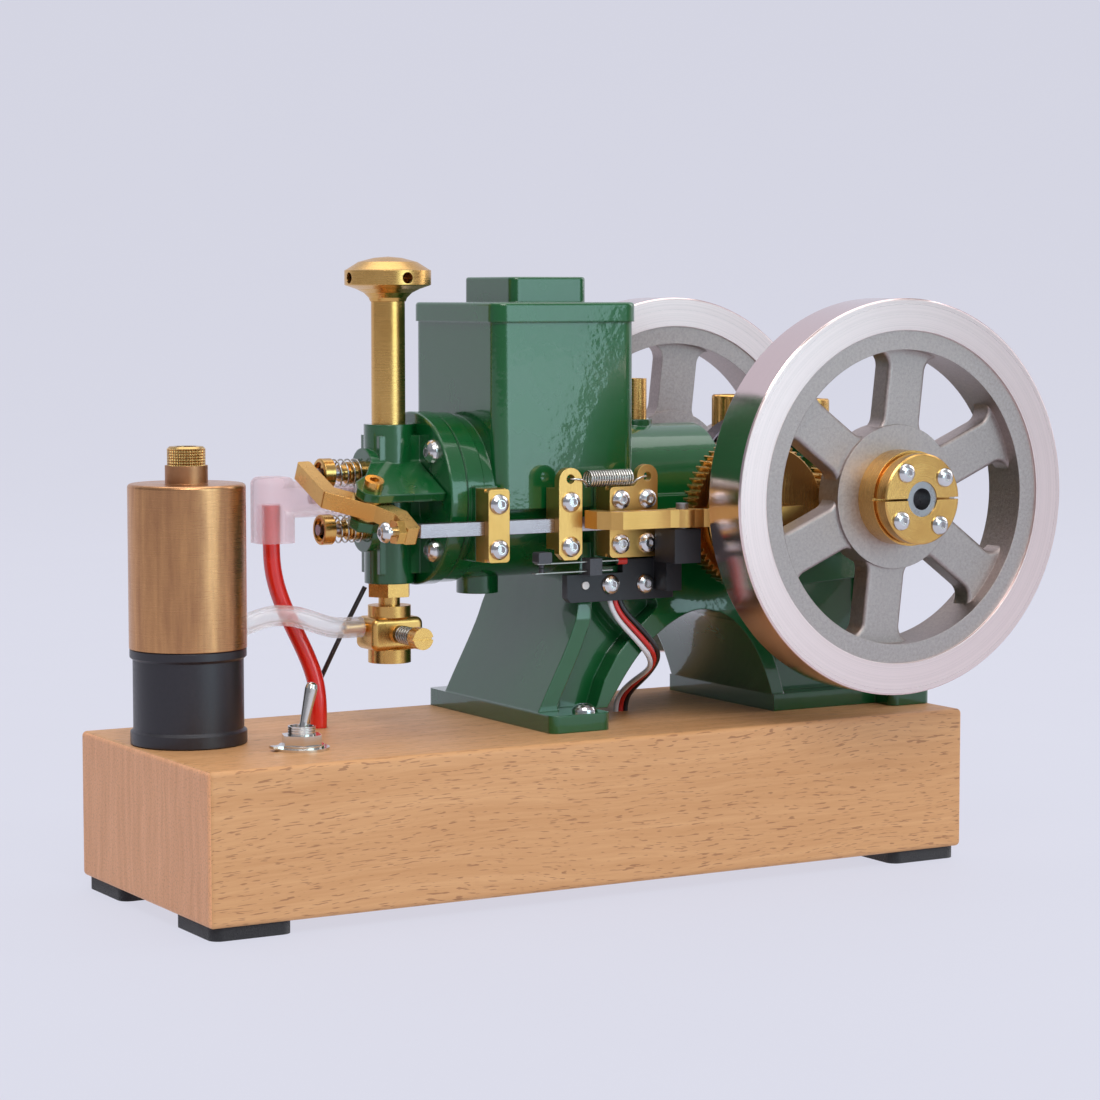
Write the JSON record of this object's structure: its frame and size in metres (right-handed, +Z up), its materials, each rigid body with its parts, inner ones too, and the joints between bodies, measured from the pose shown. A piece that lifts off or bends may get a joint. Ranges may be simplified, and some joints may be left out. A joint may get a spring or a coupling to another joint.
{
  "type": "horizontal hit-and-miss model engine",
  "caption": "Working model of a horizontal hit-and-miss petrol engine with spoked flywheels, water hopper and brass tank, on a wooden base.",
  "frame": {"origin": "on the table, below the middle of the whole model, in the vertical centre plane of the engine", "axes": "+X along the base from the fuel tank to the flywheels, +Y to the back, +Z up"},
  "size_m": [0.2108, 0.1252, 0.1414],
  "materials": {
    "beech": "oiled beech block",
    "felt": "black felt pad",
    "green_enamel": "gloss dark green enamel on castings",
    "steel": "ground steel",
    "gasket": "dark fibre gasket",
    "bright_steel": "bright stainless",
    "brass": "satin turned brass",
    "cast_rim": "cast light metal, machined rim",
    "alloy": "machined light alloy",
    "black_plastic": "satin black",
    "contact_metal": "spring leaf with plastic blocks",
    "wire_insulation": "thin insulated wires",
    "clear_tube": "translucent silicone tube",
    "ceramic_plug": "small spark plug, steel shell",
    "clear_boot": "translucent silicone boot",
    "red_wire": "glossy red insulated lead"
  },
  "bodies": {
    "chassis": {"base_pads": "felt", "bearing_caps": "green_enamel", "cam_axle": "bright_steel", "carburettor": "brass", "casting_screws": "bright_steel", "contact_bracket": "black_plastic", "contact_set": "contact_metal", "cylinder_head": "green_enamel", "cylinder_liner": "steel", "engine_frame": "green_enamel", "exhaust_spring": "bright_steel", "exhaust_stack": "brass", "fuel_tank": "brass", "fuel_tube": "clear_tube", "head_gasket": "gasket", "ignition_wire": "red_wire", "intake_spring": "bright_steel", "main_bearings": "brass", "oil_cups": "brass", "plug_boot": "clear_boot", "return_spring": "bright_steel", "rocker_pivot_screw": "bright_steel", "rod_guides": "brass", "signal_wires": "wire_insulation", "small_screws": "bright_steel", "spark_plug": "ceramic_plug", "stack_cap": "brass", "switch_body": "bright_steel", "tank_holder": "black_plastic", "valve_guides": "brass", "wooden_base": "beech"},
    "crank_body": {"crankshaft": "steel", "crank_pinion": "brass", "flywheel_front": "cast_rim", "flywheel_rear": "cast_rim", "flywheel_hubs": "brass", "hub_screws": "bright_steel"},
    "cam_body": {"cam_gear": "brass", "exhaust_cam": "steel"},
    "governor_disc_body": {"governor_disc": "brass"},
    "weight_a_body": {"governor_weight_a": "steel"},
    "weight_b_body": {"governor_weight_b": "steel"},
    "piston_body": {"piston": "alloy", "piston_rings": "steel", "wrist_pin": "bright_steel"},
    "rod_small_body": {"rod_small_end": "alloy"},
    "rod_big_body": {"rod_big_end": "brass"},
    "push_rod_body": {"push_rod": "steel", "cam_roller": "steel", "catch_clamp": "brass"},
    "rocker_body": {"rocker_arm": "brass", "tappet_screw": "bright_steel"},
    "exhaust_valve_body": {"exhaust_valve": "steel", "exhaust_retainer": "brass"},
    "intake_valve_body": {"intake_valve": "steel", "intake_retainer": "brass"},
    "latch_body": {"latch_arm": "brass"},
    "needle_body": {"needle_valve": "brass"},
    "switch_lever_body": {"switch_lever": "bright_steel"},
    "fuel_cap_body": {"fuel_cap": "brass"}
  },
  "joints": [
    {"name": "crank_spin", "type": "hinge", "parent": "chassis", "child": "crank_body", "pos_m": [0.06045, 0, 0.0871], "axis": [0, 1, 0], "continuous": true},
    {"name": "cam_spin", "type": "hinge", "parent": "chassis", "child": "cam_body", "pos_m": [0.03527, -0.03, 0.08305], "axis": [0, 1, 0], "continuous": true},
    {"name": "big_end_pivot", "type": "hinge", "parent": "crank_body", "child": "rod_big_body", "pos_m": [0.06045, 0, 0.0971], "axis": [0, 1, 0], "continuous": true},
    {"name": "piston_slide", "type": "slide", "parent": "chassis", "child": "piston_body", "axis": [1, 0, 0], "range_m": [-0.01077, 0.00923]},
    {"name": "small_end_pivot", "type": "hinge", "parent": "piston_body", "child": "rod_small_body", "pos_m": [-0.00378, 0, 0.0871], "axis": [0, 1, 0], "range_deg": [0, 17.7]},
    {"name": "push_rod_slide", "type": "slide", "parent": "chassis", "child": "push_rod_body", "axis": [-1, 0, 0], "range_m": [-0.0016, 0], "deforming": ["return_spring", "exhaust_spring"]},
    {"name": "rocker_pivot", "type": "hinge", "parent": "chassis", "child": "rocker_body", "pos_m": [-0.05395, -0.0125, 0.08699], "axis": [0, -0.4503, 0.8929], "range_deg": [0, 7.64]},
    {"name": "exhaust_valve_slide", "type": "slide", "parent": "chassis", "child": "exhaust_valve_body", "axis": [1, 0, 0], "range_m": [-0.00185, 0]},
    {"name": "intake_valve_slide", "type": "slide", "parent": "chassis", "child": "intake_valve_body", "axis": [1, 0, 0], "range_m": [0, 0.0018], "deforming": ["intake_spring"]},
    {"name": "governor_slide", "type": "slide", "parent": "cam_body", "child": "governor_disc_body", "axis": [0, -1, 0], "range_m": [0, 0.0012]},
    {"name": "latch_pivot", "type": "hinge", "parent": "chassis", "child": "latch_body", "pos_m": [0.01345, -0.0346, 0.083], "axis": [0, 0, 1], "range_deg": [-3.2, 0]},
    {"name": "governor_weight_a_pivot", "type": "hinge", "parent": "cam_body", "child": "weight_a_body", "pos_m": [0.04677, -0.0334, 0.08305], "axis": [0, 1, 0], "range_deg": [0, 6]},
    {"name": "governor_weight_b_pivot", "type": "hinge", "parent": "cam_body", "child": "weight_b_body", "pos_m": [0.02377, -0.0334, 0.08305], "axis": [0, 1, 0], "range_deg": [0, 6]},
    {"name": "needle_turn", "type": "hinge", "parent": "chassis", "child": "needle_body", "pos_m": [-0.04265, -0.009, 0.057], "axis": [0, 1, 0], "range_deg": [0, 540]},
    {"name": "switch_toggle", "type": "hinge", "parent": "chassis", "child": "switch_lever_body", "pos_m": [-0.07485, -0.0213, 0.0384], "axis": [0, 1, 0], "range_deg": [-25.8, 0]},
    {"name": "fuel_cap_lift", "type": "slide", "parent": "chassis", "child": "fuel_cap_body", "axis": [0, 0, 1], "range_m": [0, 0.012]}
  ],
  "couplings": [
    {"joint": "cam_spin", "follows": "crank_spin", "ratio": -0.5},
    {"joint": "big_end_pivot", "follows": "crank_spin", "ratio": -1},
    {"joint": "rocker_pivot", "follows": "push_rod_slide", "rad_per_m": -83.33},
    {"joint": "exhaust_valve_slide", "follows": "push_rod_slide", "ratio": 1.156},
    {"joint": "latch_pivot", "follows": "governor_slide", "rad_per_m": -46.5},
    {"joint": "governor_weight_a_pivot", "follows": "governor_slide", "rad_per_m": 87.2},
    {"joint": "governor_weight_b_pivot", "follows": "governor_slide", "rad_per_m": 87.2}
  ]
}
